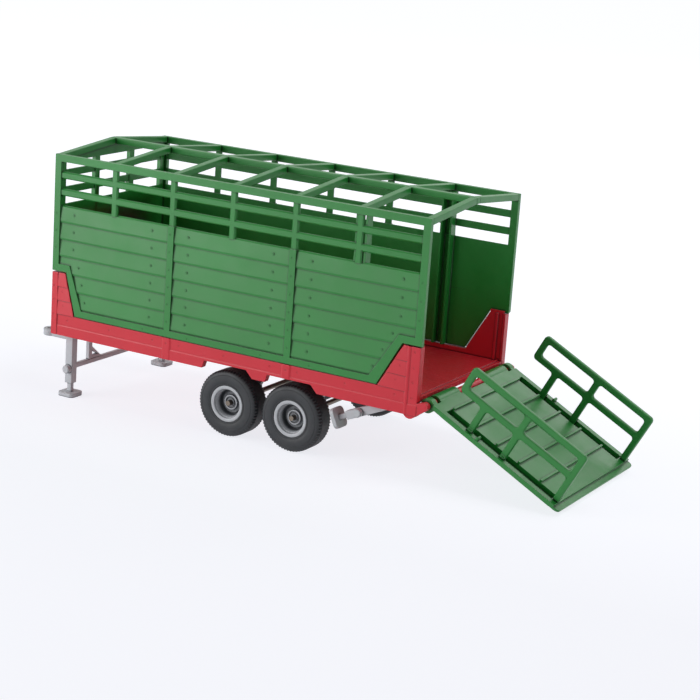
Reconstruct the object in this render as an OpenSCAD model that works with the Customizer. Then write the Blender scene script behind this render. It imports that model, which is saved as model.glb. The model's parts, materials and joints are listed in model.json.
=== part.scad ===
// Tandem livestock trailer, 1:32 scale model in moulded plastic.
// +X points to the loading end, -Y is the left side, +Z is up.
// Inside the modules X starts at the front of the box and Z at the bottom of the skirt.

/* [Box] */
// Length of the box over its corner posts
body_l = 200; // [180:1:230]
// Width of the box over its walls
body_w = 87.6; // [80:0.2:96]
// Height of the top rail above the bottom of the skirt
rail_top = 87.2; // [80:0.2:96]
// Height of the roof ridge above the top rail
ridge_rise = 3.7; // [2:0.1:8]
// Height of the bottom of the skirt above the ground
ground_gap = 30.4; // [29:0.2:34]
// Number of bays between the roof bows
bays = 6; // [4:2:8]

/* [Floor and skirts] */
// Top of the floor above the bottom of the skirt
floor_top = 8; // [7.4:0.1:9.4]
// Thickness of the floor plate
floor_t = 2.4; // [1.6:0.1:3]
// Height of the skirt below the wall
skirt_h = 10.4; // [10:0.1:13]
// Thickness of the skirt plate
skirt_t = 3; // [2.4:0.1:3.6]
// Height of the outer fold along the skirt
fold_h = 4.6; // [3:0.1:6]
// How far the straps and corner strips stand out from the skirt
fold_out = 0.4; // [0.2:0.1:0.8]
// Distance of the lower band behind the straps
strap_out = 0.2; // [0.1:0.1:0.4]
// Width of a strap's sloped flank
strap_flank = 0.9; // [0.4:0.1:1.4]
// Height of the corner plates
corner_h = 30.6; // [26:0.2:36]
// Top width of the front corner plates
front_plate_top = 8.2; // [6:0.2:12]
// Foot width of the front corner plates
front_plate_foot = 14; // [13:0.2:20]
// Top width of the rear corner plates
rear_plate_top = 9.5; // [8:0.5:14]
// Foot width of the rear corner plates
rear_plate_foot = 21; // [16:0.5:26]
// Number of lapped bands on a corner plate
plate_bands = 3; // [2:1:4]
// Radius of the rounded column on each rear corner
column_r = 1.6; // [1.2:0.1:2]
// Width of the flat rear edge behind the column
rear_edge = 4.4; // [3.6:0.1:5]
// Distance of the skirts' rear edge from the rear of the box
skirt_back = 0.5; // [0.2:0.1:1.4]
// Radius of the rounded foot under each rear corner
foot_r = 3.2; // [2.6:0.1:3.6]
// Distance of the rounded foot's middle from the rear of the box
foot_in = 3.9; // [3.6:0.1:5]
// Drop of the rounded foot below the skirt
foot_out = 1.7; // [1.4:0.1:2.6]
// Width of an inner rib on a rear corner
rib_w = 1.2; // [0.8:0.1:1.6]
// How far an inner rib stands in from the skirt
rib_out = 0.8; // [0.4:0.1:0.9]
// Height of the ledge behind the seam over a rear corner
ledge_h = 1.2; // [0.8:0.1:1.6]
// Gap between the ledge and the wall in front of it
ledge_gap = 0.2; // [0.1:0.1:0.3]
// Distance of the sill from the rear of the box
sill_in = 3.4; // [2.4:0.1:5]
// Width of the sill across the loading edge
sill_w = 1; // [0.6:0.1:1.6]
// Height of the sill
sill_h = 0.5; // [0.3:0.1:0.8]
// Gap between a length beam and the bracket flanges
beam_gap = 1.4; // [0.6:0.1:4]
// Width of a length beam under the floor
beam_w = 2; // [1.4:0.1:2.6]
// Depth of a length beam under the floor
beam_h = 1.4; // [1:0.1:2]
// Distance of the length beams from the front of the box
beam_front = 44; // [43:1:60]
// Distance of the length beams from the rear of the box
beam_rear = 42; // [36:1:60]
// Gap between the corner plates and the wall
seam = 0.7; // [0.3:0.1:1.2]

/* [Walls] */
// Thickness of a wall over its frame strips
wall_t = 2.2; // [1.8:0.1:3]
// Width of the top rail, the posts and the roof bars
bar_w = 3.4; // [2.8:0.1:4]
// Height from one slat to the next
pitch = 8.1; // [7.5:0.1:8.6]
// Height of a slat
slat_h = 3.4; // [2.6:0.1:4]
// Thickness of a slat
slat_t = 1.4; // [1:0.1:1.8]
// Slope on the outer edges of the slats and of the posts across them
bar_slope = 0.6; // [0.2:0.1:0.8]
// Number of open slats under the top rail
slats = 2; // [1:1:3]
// Number of lapped boards in a wall
boards = 6; // [4:1:6]
// How far each board's lower edge stands out over the next
lap = 0.6; // [0.4:0.1:0.8]
// Height of the sloped nose along a board's lower edge
nose_h = 1; // [0.6:0.1:2]
// Depth of the nose's slope
nose_d = 0.2; // [0.1:0.05:0.3]
// How far the frame strips stand out over the boards
strip_out = 0.4; // [0.2:0.1:0.6]
// Width of the raised strip along a wall's bottom and ends
strip_w = 3.5; // [2.6:0.1:4.2]
// Height of the front wall's top rail under the end bow
front_rail = 1.2; // [0.8:0.1:2]
// Distance of the inner partition guide from the rear end
guide_in = 37.2; // [24:0.2:60]
// Clear width of the partition guide
guide_gap = 3.9; // [3:0.1:8]
// Thickness of the partition guide's flanges
guide_t = 1; // [0.6:0.1:1.4]
// How far the flanges stand in from the wall
guide_d = 3.8; // [1:0.1:3.8]
// Thickness of the roof bows and the ridge
bow_t = 3; // [2.2:0.1:3.6]

/* [Wheels] */
// Outer radius of a tyre
tyre_r = 15.6; // [14:0.1:16.4]
// Width of a tyre
tyre_w = 11.5; // [9:0.5:13]
// Radius of a rim over its flange
rim_r = 8.65; // [7.5:0.05:9.5]
// Rim wall between the flange and the dish
rim_wall = 1.2; // [0.8:0.1:1.8]
// Depth of the dish
dish_d = 5.6; // [4:0.1:6.4]
// Taper of the dish towards its bottom
dish_taper = 1.2; // [0.6:0.1:1.6]
// Inset of the flange from the tyre's face
flange_in = 0.3; // [0.1:0.1:0.6]
// Radius of the hub
hub_r = 4; // [3.4:0.1:4.6]
// Inset of the hub's face from the tyre's face
hub_in = 2.4; // [1.6:0.1:3]
// Inner radius of the hub's ring groove
ring_in = 1.9; // [1.7:0.1:2.2]
// Outer radius of the hub's ring groove
ring_out = 2.8; // [2.5:0.1:3.2]
// Depth of the hub's ring groove
ring_d = 0.5; // [0.3:0.1:0.8]
// Inset of the rim's back from the tyre's inner face
rim_back = 1.6; // [1:0.1:2]
// Inset of the hub's back from the tyre's inner face
hub_back = 3; // [2.4:0.1:3.4]
// Radius of a tyre's rounded shoulder
shoulder = 2.4; // [1.4:0.1:3.2]
// Inset of an axle's end from the tyre's face
axle_tip = 1.4; // [0.8:0.1:2]
// Distance between the two axles
axle_gap = 34.3; // [33.8:0.1:40]
// Distance of the rear axle from the rear of the box
axle_rear = 64.4; // [60:0.1:72]
// Inset of a tyre's outer face from the wall's outer face
wheel_in = 1.3; // [0.8:0.1:3]
// Radius of an axle rod
axle_r = 1.2; // [0.9:0.05:1.5]
// Radial running clearance of the rods and pins
run_gap = 0.05; // [0.03:0.01:0.08]
// Depth of the wheel notches in the skirt
notch_h = 3.6; // [3:0.1:4]
// Length of a wheel notch along its top
notch_l = 20.6; // [16:0.2:22]
// Length of a wheel notch's sloped end
notch_slope = 3.4; // [2:0.1:4]
// Distance of an axle bracket from the tyre's inner face
bracket_in = 7; // [5:0.5:12]
// Thickness of an axle bracket
bracket_t = 2.6; // [2:0.1:3.2]
// Wall of a bracket's boss round its axle
boss_t = 1.8; // [1.4:0.1:2.2]
// Play of a wheel between its boss and the hub
side_gap = 0.3; // [0.2:0.1:0.6]
// Half length of a bracket's plate at the floor, beyond each axle
bracket_l = 9; // [7:0.5:12]
// Half length of a bracket's plate at each axle
bracket_foot = 3; // [2:0.1:4]
// Depth of a bracket's plate at its ends
bracket_end = 4; // [3:0.5:6]
// Depth of a bracket's plate between the axles
bracket_mid = 8; // [6:0.5:10]
// Half length of a flange along the floor
flange_l = 5; // [4:0.1:6]
// Width of a flange beside the bracket
flange_w = 5; // [4:0.1:6]

/* [Ramp] */
// Length of the ramp deck
ramp_l = 71; // [60:1:74]
// Distance of the ramp's side from the wall's outer face
ramp_in = 2.7; // [2.4:0.1:5]
// Height of the ramp's outer edge
ramp_t = 2.1; // [1.9:0.1:3]
// Thickness of the ramp's plate
ramp_plate_t = 1; // [0.8:0.1:1.2]
// Width of the flat border outside the rails
ramp_border = 3.3; // [2.6:0.1:4]
// Distance of the sunk channels from the deck's upper edge
channel_start = 5.6; // [3:0.1:8]
// Width of the sunk channel that holds the rails' feet
channel_w = 5; // [4:0.1:7]
// Depth of the sunk channel
channel_d = 2.4; // [1:0.1:2.6]
// Thickness of the channel's walls
trough_t = 1; // [0.8:0.1:1.4]
// Thickness of the ramp's turned-down edge
edge_t = 1.6; // [1.2:0.1:2.2]
// Length of the low toe at the ramp's foot
toe_l = 3; // [2:0.1:5]
// Step from the deck down to the toe
toe_step = 1; // [0.6:0.1:1.2]
// Radius of the toe's outer corners
toe_corner = 2.4; // [1:0.1:3]
// Distance of the ramp's support feet from its end
support_in = 2; // [1:0.1:4]
// Height of the support feet under the ramp
support_h = 3; // [1.6:0.1:3.4]
// Length of a support foot along the ramp
support_l = 3; // [2:0.1:5]
// Distance of a support foot from the ramp's side
support_side = 7.1; // [5:0.1:16]
// Width of a support foot
support_w = 12; // [6:1:18]
// Number of treads across the ramp
treads = 5; // [3:1:7]
// Width of a tread
tread_w = 1.1; // [0.8:0.1:1.6]
// Height of a tread
tread_h = 1.1; // [0.4:0.1:1.4]
// Distance of the hinge pin behind the box
hinge_back = 3; // [2.6:0.1:3.4]
// Height of the hinge pin above the bottom of the skirt
hinge_z = 4.8; // [4.4:0.1:6]
// Radius of the hinge pin
hinge_r = 1; // [0.8:0.05:1.1]
// Outer radius of the hinge lugs on the skirts
lug_r = 1.9; // [1.7:0.1:2.2]
// Clearance between the closed ramp and the box
close_gap = 0.3; // [0.2:0.05:0.6]
// Clearance of the open ramp's feet above the ground
toe_gap = 0.1; // [0.05:0.05:0.3]
// Depth of the blind end over the ramp's pin
pin_cover = 1; // [0.6:0.1:1.6]
// Distance of the deck's upper edge from the hinge pin
ramp_start = 2.5; // [2.5:0.1:4]
// Outer radius of the ramp's knuckles and ears
knuckle_r = 3.3; // [2.6:0.05:3.4]
// Width of the ramp's ears, beside the lugs
ear_w = 3.4; // [2:0.1:5]
// Radius of the spacer sleeves on the pin, beside the knuckles
sleeve_r = 2; // [1.8:0.1:2.2]
// Width of a ramp knuckle
knuckle_w = 19; // [12:1:22]
// Distance of a ramp knuckle's middle from the ramp's side
knuckle_in = 17.1; // [16:0.1:21]
// Distance of a ramp rail's middle from the ramp's side
rail_in = 4.5; // [4.3:0.1:6]
// Height of a ramp rail above the deck
rail_h = 25.2; // [20:0.2:28]
// Width of a ramp rail's bars
rail_bar = 3.1; // [2.4:0.1:3.6]
// Thickness of a ramp rail's bars
rail_t = 2.2; // [1.6:0.1:2.4]
// Start of the ramp rail along the deck
rail_start = 5.2; // [4:0.2:8]
// Height of the middle bar's lower edge above the deck
rail_mid = 11.9; // [9:0.1:14]
// Radius of a ramp rail's outer corners
rail_corner = 2; // [1:0.1:2.6]
// Radius of the inner corners between a rail's bars
rail_fillet = 1.5; // [0.8:0.1:2.4]
// Reach of a rail's clips over the border
clip_out = 1.5; // [0.8:0.1:1.7]
// Thickness of a rail's clips
clip_t = 0.8; // [0.5:0.1:1]
// Place of the first post along the deck
post_one = 17.2; // [13:0.2:19]
// Place of the middle post along the deck
post_two = 35.6; // [30:0.2:42]
// Gap between the catch pegs and the rear corners when the ramp is shut
catch_gap = 0.2; // [0.2:0.1:8]
// Radius of a catch peg
catch_r = 0.7; // [0.5:0.1:0.9]

/* [Stands] */
// Distance of the front stand's pin from the front of the box
front_stand_in = 8.4; // [8:0.2:12]
// Distance of the rear stand's pin from the rear of the box
rear_stand_in = 12.2; // [11:0.2:14]
// Height of the stand pins above the bottom of the skirt
stand_z = 3; // [2.6:0.1:3.2]
// Radius of the stand pins
stand_pin_r = 1; // [0.8:0.05:1.1]
// Clearance between a leg and the skirt
leg_gap = 0.4; // [0.2:0.1:2]
// Width of a square leg
leg_w = 4; // [3:0.1:4.4]
// Reach of a leg tube below its pin
leg_l = 27; // [24:0.2:28]
// Width of a foot's square stem
stem_w = 2.3; // [1.6:0.1:2.8]
// Width of a foot pad
pad_w = 9.4; // [7:0.2:10]
// Thickness of a foot pad
pad_t = 2; // [1.2:0.1:2.4]
// Radius of a foot pad's corners
pad_corner = 2.4; // [0.8:0.1:2.4]
// Drop of the cross bar below the pin
cross_drop = 19; // [16:0.2:21]
// Width and height of the cross bar
cross_w = 2.2; // [1.6:0.1:3]
// Distance of an inner strut from the leg
strut_in = 14; // [10:0.5:20]
// Width of an inner strut
strut_w = 2.6; // [2:0.1:3]
// Thickness of an inner strut
strut_t = 2; // [1.6:0.1:2.6]
// Wall of a strut's eye round the pin
strut_eye = 0.9; // [0.7:0.1:1.2]
// Reach of the gusset beside a strut
gusset = 9; // [7:0.5:12]
// Height of the gusset beside a strut
gusset_h = 7.2; // [6:0.2:9]
// Width of the gusset's rim round its opening
gusset_rim = 1.6; // [1.2:0.1:1.8]
// Drop of the clamp knobs below the pin
knob_drop = 19.8; // [18:0.2:23]
// Radius of a clamp knob
knob_r = 2; // [1.4:0.1:2.4]
// Length of a clamp knob
knob_l = 2.6; // [1.6:0.1:3]
// Chamfer on a clamp knob
knob_bevel = 0.5; // [0.3:0.1:0.8]
// Depth of a stand pin's seat in the skirt
pin_seat = 1.6; // [1:0.1:2]
// Angle that the stands fold through
fold_angle = 66; // [45:1:68]

/* [Drawbar] */
// Distance of the tow eye in front of the box
eye_front = 34; // [30:0.5:50]
// Height of the middle of the tow eye above the ground
eye_up = 17; // [14:0.1:18]
// Radius of the hole in the tow eye
eye_r = 1.8; // [1.4:0.1:2.2]
// Outer radius of the tow eye
eye_out = 4; // [3.4:0.1:5]
// Thickness of the tow eye
eye_t = 3.4; // [3:0.1:5]
// Width of the drawbar
bar_y = 6; // [4.5:0.1:8]
// Level length of the drawbar behind the eye
bar_level = 16; // [10:0.5:24]
// Length of the drawbar's flat under the floor
bar_flat = 30; // [20:1:40]
// Thickness of the drawbar's flat under the floor
flat_t = 3.4; // [2.6:0.1:4]
// Distance of the drawbar's flat behind the front stand's pin
flat_in = 4; // [3:0.2:6]

/* [Screws] */
// Radius of a screw's shank
screw_r = 0.8; // [0.6:0.05:1]
// Radius of a screw's head
head_r = 1.7; // [1.4:0.1:2]
// Height of a screw's head
head_h = 1; // [0.8:0.1:1.2]
// Clearance at the end of a screw
screw_end = 0.2; // [0.1:0.1:0.3]
// Clearance of a screw in its hole
screw_gap = 0.1; // [0.05:0.05:0.2]
// Floor left over the end of a screw
screw_roof = 0.7; // [0.5:0.1:1]
// Thickness of the bracket flanges under the floor
flange_t = 1.6; // [1.2:0.1:2]

/* [Hidden] */
$fn = 64;

// Length by which a cutter passes the face it cuts
past = 1;

// Colours
red = "#d6434b";
green = "#3f9a52";
grey = "#a5aab2";
rubber = "#3c4146";
steel = "#b8bcc0";

// Faces measured outwards from the centre line
wall_out = body_w / 2;
wall_in = wall_out - wall_t;
skirt_out = wall_out - fold_out;
skirt_in = skirt_out - skirt_t;
floor_under = floor_top - floor_t;
rib_x = body_l - rear_edge - rib_w;
column_x = body_l - rear_edge - column_r;
skirt_rear = body_l - skirt_back;
lip_out = wall_out - strap_out;

// Heights in a wall
ridge_top = rail_top + ridge_rise;
slat_zone = bar_w + slats * pitch + pitch - slat_h;
board_top = rail_top - slat_zone;
board_foot = skirt_h + strip_w;
board_pitch = (board_top - board_foot) / boards;
bay = (body_l - bar_w) / bays;

// Wheels and axles
axle_z = tyre_r - ground_gap;
axle_xs = [body_l - axle_rear - axle_gap, body_l - axle_rear];
tyre_out = wall_out - wheel_in;
tyre_in = tyre_out - tyre_w;
bracket_y = tyre_in - bracket_in;
boss_out = tyre_in + hub_back - side_gap;
flange_y = bracket_y - bracket_t - flange_w;
screw_y = flange_y + flange_w / 2;
beam_y = flange_y - beam_gap - beam_w / 2;

// Ramp in its own frame: s runs down the deck from the pin, n stands square to it
hinge_x = body_l + hinge_back;
ramp_top = hinge_back - close_gap;
floor_rear = hinge_x - max(knuckle_r, ramp_top) - close_gap;
ear_out = skirt_in - close_gap;
ramp_under = ramp_top - ramp_t;
plate_under = ramp_top - ramp_plate_t;
channel_top = ramp_top - channel_d;
channel_under = channel_top - trough_t;
ramp_half = wall_out - ramp_in;
channel_far = ramp_half - ramp_border;
field_y = channel_far - channel_w;
rail_y = ramp_half - rail_in;
knuckle_y = ramp_half - knuckle_in;
mid_sleeve = knuckle_y - knuckle_w / 2 - close_gap;
side_sleeve = [knuckle_y + knuckle_w / 2 + close_gap, ear_out - ear_w - close_gap];
support_y = ramp_half - support_side;
ramp_end = ramp_start + ramp_l;
support_end = ramp_end - support_in;
support_under = ramp_under - support_h;
toe_drop = hinge_z + ground_gap - toe_gap;
ramp_angle = asin(toe_drop / norm([support_end, support_under])) - atan(-support_under / support_end);
deck_end = ramp_end - toe_l;
rail_end = deck_end;
rail_far = ramp_top + rail_h;
catch_s = corner_h + catch_gap + catch_r - hinge_z;
tread_pitch = (deck_end - ramp_start) / (treads + 0.5);

// Stands
stand_xs = [front_stand_in, body_l - rear_stand_in];
leg_y = skirt_in - leg_gap - leg_w / 2;
strut_y = leg_y - strut_in;
foot_drop = stand_z + ground_gap;
cross_top = -cross_drop + cross_w / 2;
eye_z = eye_up - ground_gap;
bar_under = eye_z - eye_t / 2;
flat_x = front_stand_in + flat_in;
flat_screws = [flat_x + bar_flat / 3, flat_x + 2 * bar_flat / 3];
flange_screws = [for (x = axle_xs, side = [-1, 1]) [x, side * screw_y]];
screw_places = concat(flange_screws, [for (x = flat_screws) [x, 0]]);

// Furthest reach of the ramp rail's outer corner, and of the tow eye
rail_tip = hinge_x + (rail_end - rail_corner) * cos(ramp_angle) + (rail_far - rail_corner) * sin(ramp_angle)
    + rail_corner;
eye_tip = -eye_front - eye_out;
middle_x = (rail_tip + eye_tip) / 2;

// Moves the trailer so that its box stands on the origin
module place() { translate([-middle_x, 0, ground_gap]) children(); }
// Lays an XZ outline in the left side, from one distance off the centre line to another
module left_plate(from, to) {
    translate([0, -from, 0]) rotate([90, 0, 0]) linear_extrude(to - from) children();
}
// Lays an outline of Y and Z across the trailer, from one X to another
module cross_plate(from, to) {
    translate([from, 0, 0]) rotate([90, 0, 90]) linear_extrude(to - from) children();
}
// A copy on the right side
module right_side() { mirror([0, 1, 0]) children(); }
// A rod along Y through a point of the XZ plane
module rod_y(x, z, r, from, to) {
    translate([x, from, z]) rotate([-90, 0, 0]) cylinder(r = r, h = to - from);
}
// A box between two corners
module span(a, b) { translate(a) cube(b - a); }
// Turns a piece drawn on the ramp into its open place
module on_ramp() { translate([hinge_x, 0, hinge_z]) rotate([0, ramp_angle, 0]) children(); }
// Turns a piece drawn on an upright stand about its pin
module on_stand(x, angle) { translate([x, 0, stand_z]) rotate([0, angle, 0]) children(); }

// Outlines of the left side, X to the right and Z up
module wall_outline() {
    corner_foot = corner_h + seam;
    polygon([[0, corner_foot], [front_plate_top, corner_foot], [front_plate_foot, skirt_h],
        [body_l - rear_plate_foot, skirt_h], [body_l - rear_plate_top, corner_foot],
        [body_l, corner_foot], [body_l, rail_top], [0, rail_top]]);
}
module front_corner_outline() {
    polygon([[0, skirt_h], [front_plate_foot - seam, skirt_h], [front_plate_top - seam, corner_h],
        [0, corner_h]]);
}
module rear_corner_outline() {
    polygon([[column_x, skirt_h], [body_l - rear_plate_foot + seam, skirt_h],
        [body_l - rear_plate_top + seam, corner_h], [column_x, corner_h]]);
}
// The outline of the wall without its frame strips, for the boards
module board_field() {
    rise = corner_h - skirt_h;
    slope_front = strip_w * norm([rise, front_plate_foot - front_plate_top]) / rise;
    slope_rear = strip_w * norm([rise, rear_plate_foot - rear_plate_top]) / rise;
    plate_foot = corner_h + seam + strip_w;
    polygon([[strip_w, plate_foot], [front_plate_top + slope_front / 2, plate_foot],
        [front_plate_foot + slope_front, board_foot], [body_l - rear_plate_foot - slope_rear, board_foot],
        [body_l - rear_plate_top - slope_rear / 2, plate_foot], [body_l - strip_w, plate_foot],
        [body_l - strip_w, board_top], [strip_w, board_top]]);
}
// The lapped face of the boards, as a section of depth and height, with its back at zero
module lapped_section(depth) {
    for (k = [0 : boards - 1])
        translate([0, board_foot + k * board_pitch])
            polygon([[0, 0], [depth - nose_d, 0], [depth, nose_h],
                if (k < boards - 1) [depth - lap, board_pitch],
                if (k == boards - 1) each [[depth - lap, board_pitch - bar_slope],
                    [depth - lap - bar_slope, board_pitch]],
                [0, board_pitch]]);
}
// A slat or post as a section of depth and width, sloped along its outer edges
module bar_section(width) {
    polygon([[0, 0], [slat_t - bar_slope, 0], [slat_t, bar_slope], [slat_t, width - bar_slope],
        [slat_t - bar_slope, width], [0, width]]);
}

// Red lower body
module floor_pan() color(red) place() difference() {
    union() {
        span([skirt_t, -skirt_in, floor_under], [floor_rear, skirt_in, floor_top]);
        // Low sill across the loading edge
        span([body_l - sill_in, -skirt_in, floor_top],
            [body_l - sill_in + sill_w, skirt_in, floor_top + sill_h]);
        // Length beams under the floor
        for (side = [-1, 1])
            translate([0, side * beam_y, 0])
                span([beam_front, -beam_w / 2, floor_under - beam_h],
                    [body_l - beam_rear, beam_w / 2, floor_under]);
    }
    for (at = screw_places)
        translate([at[0], at[1], floor_under - past])
            cylinder(r = screw_r + screw_gap, h = floor_t - screw_roof + past);
    // Notches for the skirts' ribs
    for (side = [0, 1]) mirror([0, side, 0])
        span([rib_x, -skirt_in - past, floor_under - past],
            [rib_x + rib_w, -skirt_in + rib_out, floor_top + past]);
}

module skirt_body() {
    difference() {
        union() {
            // Folded band along the whole side
            rotate([90, 0, 90]) linear_extrude(skirt_rear)
                polygon([[-skirt_in, 0], [-lip_out, 0], [-lip_out, fold_h], [-skirt_out, fold_h + fold_out],
                    [-skirt_out, skirt_h], [-skirt_in, skirt_h]]);
            // Straps under the main posts
            for (k = [bays / 3, 2 * bays / 3]) translate([k * bay, 0, 0]) strap();
            corner_plate_front();
            corner_plate_rear();
        }
        for (x = axle_xs) wheel_notch(x);
        for (x = stand_xs) rod_y(x, stand_z, stand_pin_r, -skirt_in - pin_seat, -skirt_in + past);
        rod_y(hinge_x, hinge_z, hinge_r, -wall_out + pin_cover, -skirt_in + past);
    }
}
module strap() {
    linear_extrude(skirt_h)
        polygon([[-strap_flank, -skirt_out], [0, -wall_out], [bar_w, -wall_out],
            [bar_w + strap_flank, -skirt_out], [bar_w + strap_flank, -skirt_in], [-strap_flank, -skirt_in]]);
}
module wheel_notch(x) {
    half = notch_l / 2;
    foot = half + notch_slope;
    left_plate(skirt_in - past, wall_out + past)
        polygon([[x - foot, -past], [x - foot, 0], [x - half, notch_h], [x + half, notch_h], [x + foot, 0],
            [x + foot, -past]]);
}
// Lapped bands on a corner plate, cut to the plate's outline
module plate_laps() {
    band = (corner_h - skirt_h) / plate_bands;
    intersection() {
        left_plate(skirt_in, wall_out) children();
        rotate([90, 0, 90]) linear_extrude(body_l)
            for (k = [0 : plate_bands - 1])
                polygon([[-skirt_in, skirt_h + k * band], [-wall_out, skirt_h + k * band],
                    [-skirt_out, skirt_h + (k + 1) * band], [-skirt_in, skirt_h + (k + 1) * band]]);
    }
}
module corner_plate_front() {
    plate_laps() front_corner_outline();
    // Corner strip
    span([0, -wall_out, 0], [bar_w, -skirt_in, corner_h]);
}
module corner_plate_rear() {
    plate_laps() rear_corner_outline();
    // Rounded column and the flat edge behind it
    translate([column_x, -wall_out + column_r, 0]) cylinder(r = column_r, h = corner_h);
    span([column_x, -skirt_out, 0], [skirt_rear, -skirt_in, corner_h]);
    // Rounded foot that runs out into the hinge lug
    foot = [body_l - foot_in, foot_r - foot_out];
    pin = [hinge_x, hinge_z];
    way = (pin - foot) / norm(pin - foot);
    out = [way[1], -way[0]];
    rod_y(foot[0], foot[1], foot_r, -skirt_out, -skirt_in);
    rod_y(pin[0], pin[1], lug_r, -skirt_out, -skirt_in);
    left_plate(skirt_in, skirt_out)
        polygon([foot - foot_r * out, foot + foot_r * out, pin + lug_r * out, pin - lug_r * out]);
    // Two inner ribs with a channel between them, the front one let into the floor
    span([skirt_rear - rib_w, -skirt_in, floor_top], [skirt_rear, -skirt_in + rib_out, corner_h]);
    span([rib_x, -skirt_in, floor_under], [rib_x + rib_w, -skirt_in + rib_out, corner_h]);
    // Ledge behind the seam under the wall
    span([body_l - rear_plate_top + seam, -wall_in + ledge_gap, corner_h - past],
        [skirt_rear - rib_w, -skirt_in, corner_h + ledge_h]);
}
module left_skirt() color(red) place() skirt_body();
module right_skirt() color(red) place() right_side() skirt_body();

module front_plate() color(red) place() {
    cross_plate(0, skirt_t) {
        translate([-skirt_in, 0]) square([2 * skirt_in, skirt_h]);
        for (side = [-1, 1])
            polygon([[side * skirt_in, skirt_h], [side * (skirt_in - front_plate_foot), skirt_h],
                [side * (skirt_in - front_plate_top), corner_h], [side * skirt_in, corner_h]]);
    }
    // Raised lower band
    cross_plate(-fold_out, 0) translate([-skirt_in, 0]) square([2 * skirt_in, fold_h]);
}

// Green box
// One side wall, with posts on its stations, slats above and lapped boards below
module wall_body() {
    slat_out = wall_out - strip_out;
    guide_x = body_l - guide_in;
    // Frame strips, with the board field and the slat zone left open
    left_plate(wall_in, wall_out) difference() {
        wall_outline();
        board_field();
        translate([strip_w, board_top]) square([body_l - 2 * strip_w, slat_zone - bar_w]);
    }
    // Boards
    intersection() {
        left_plate(wall_in, wall_out) board_field();
        rotate([90, 0, 90]) linear_extrude(body_l) mirror([1, 0]) translate([wall_in, 0])
            lapped_section(wall_t - strip_out);
    }
    // Slats
    for (k = [1 : slats]) {
        foot = rail_top - bar_w - k * pitch;
        translate([strip_w, -slat_out + slat_t, foot]) rotate([90, 0, 90])
            linear_extrude(body_l - 2 * strip_w) mirror([1, 0]) bar_section(slat_h);
    }
    // Posts across the slats, and main posts on the boards under every other one
    for (k = [1 : bays - 1]) {
        foot = board_top - lap;
        translate([k * bay, -slat_out + slat_t, foot])
            linear_extrude(rail_top - bar_w / 2 - foot) rotate(-90) bar_section(bar_w);
        if (k % 2 == 0) span([k * bay, -wall_out, skirt_h], [k * bay + bar_w, -wall_in, board_top]);
    }
    // Guide for a partition, two flanges inside, set into the boards and the slats
    for (x = [guide_x, guide_x + guide_gap + guide_t])
        span([x, -slat_out + (slat_t + lap) / 2, skirt_h],
            [x + guide_t, -wall_in + guide_d, rail_top - bar_w]);
}
module left_wall() color(green) place() wall_body();
module right_wall() color(green) place() right_side() wall_body();

// The front wall stands between the side walls, over the front plate and under the end bow
module front_wall() color(green) place() {
    half = wall_in;
    inner = half - strip_w;
    foot_y = skirt_in - front_plate_foot;
    top_y = skirt_in - front_plate_top;
    shelf = corner_h + seam;
    eave = rail_top - bow_t;
    cross_plate(0, wall_t) difference() {
        polygon([[-half, shelf], [-top_y, shelf], [-foot_y, skirt_h], [foot_y, skirt_h], [top_y, shelf],
            [half, shelf], [half, eave], [bar_w / 2, ridge_top - bow_t], [-bar_w / 2, ridge_top - bow_t],
            [-half, eave]]);
        translate([-inner, shelf + strip_w]) square([2 * inner, eave - front_rail - shelf - strip_w]);
        translate([-foot_y, board_foot]) square([2 * foot_y, shelf + strip_w - board_foot]);
    }
    // Boards, lapped as on the sides
    intersection() {
        cross_plate(0, wall_t) {
            translate([-inner, shelf + strip_w]) square([2 * inner, board_top - shelf - strip_w]);
            translate([-foot_y, board_foot]) square([2 * foot_y, shelf + strip_w - board_foot]);
        }
        translate([wall_t, half, 0]) rotate([90, 0, 0]) linear_extrude(2 * half)
            mirror([1, 0]) lapped_section(wall_t - strip_out);
    }
    // Slats
    for (k = [1 : slats]) {
        foot = rail_top - bar_w - k * pitch;
        translate([strip_out + slat_t, inner, foot]) rotate([90, 0, 0])
            linear_extrude(2 * inner) mirror([1, 0]) bar_section(slat_h);
    }
    // Posts
    for (y = [-half / 3, half / 3])
        span([0, y - bar_w / 2, skirt_h], [wall_t, y + bar_w / 2, eave]);
}

// Roof, a ridge beam and two spars at each station
module roof_ridge() color(green) place()
    span([0, -bar_w / 2, ridge_top - bow_t], [body_l, bar_w / 2, ridge_top]);
module roof_bow(k) color(green) place() {
    cross_plate(k * bay, k * bay + bar_w)
        for (side = [-1, 1])
            polygon([[side * bar_w / 2, ridge_top], [side * wall_in, rail_top],
                [side * wall_in, rail_top - bow_t], [side * bar_w / 2, ridge_top - bow_t]]);
}

// Running gear
// One bracket for both axles, with a flange screwed to the floor
module axle_bracket_body() {
    front = axle_xs[0];
    rear = axle_xs[1];
    end_z = floor_under - bracket_end;
    mid_z = floor_under - bracket_mid;
    difference() {
        union() {
            left_plate(bracket_y - bracket_t, bracket_y)
                polygon([[front - bracket_l, floor_under], [front - bracket_l, end_z],
                    [front - bracket_foot, axle_z], [front + bracket_foot, axle_z],
                    [front + bracket_l, mid_z], [rear - bracket_l, mid_z], [rear - bracket_foot, axle_z],
                    [rear + bracket_foot, axle_z], [rear + bracket_l, end_z],
                    [rear + bracket_l, floor_under]]);
            for (x = axle_xs) {
                rod_y(x, axle_z, axle_r + boss_t, -boss_out, -bracket_y + bracket_t);
                span([x - flange_l, -bracket_y, floor_under - flange_t],
                    [x + flange_l, -flange_y, floor_under]);
            }
        }
        for (x = axle_xs) {
            rod_y(x, axle_z, axle_r + run_gap, -boss_out - past, -bracket_y + bracket_t + past);
            translate([x, -screw_y, floor_under - flange_t - past])
                cylinder(r = screw_r + screw_gap, h = flange_t + 2 * past);
        }
    }
}
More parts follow.
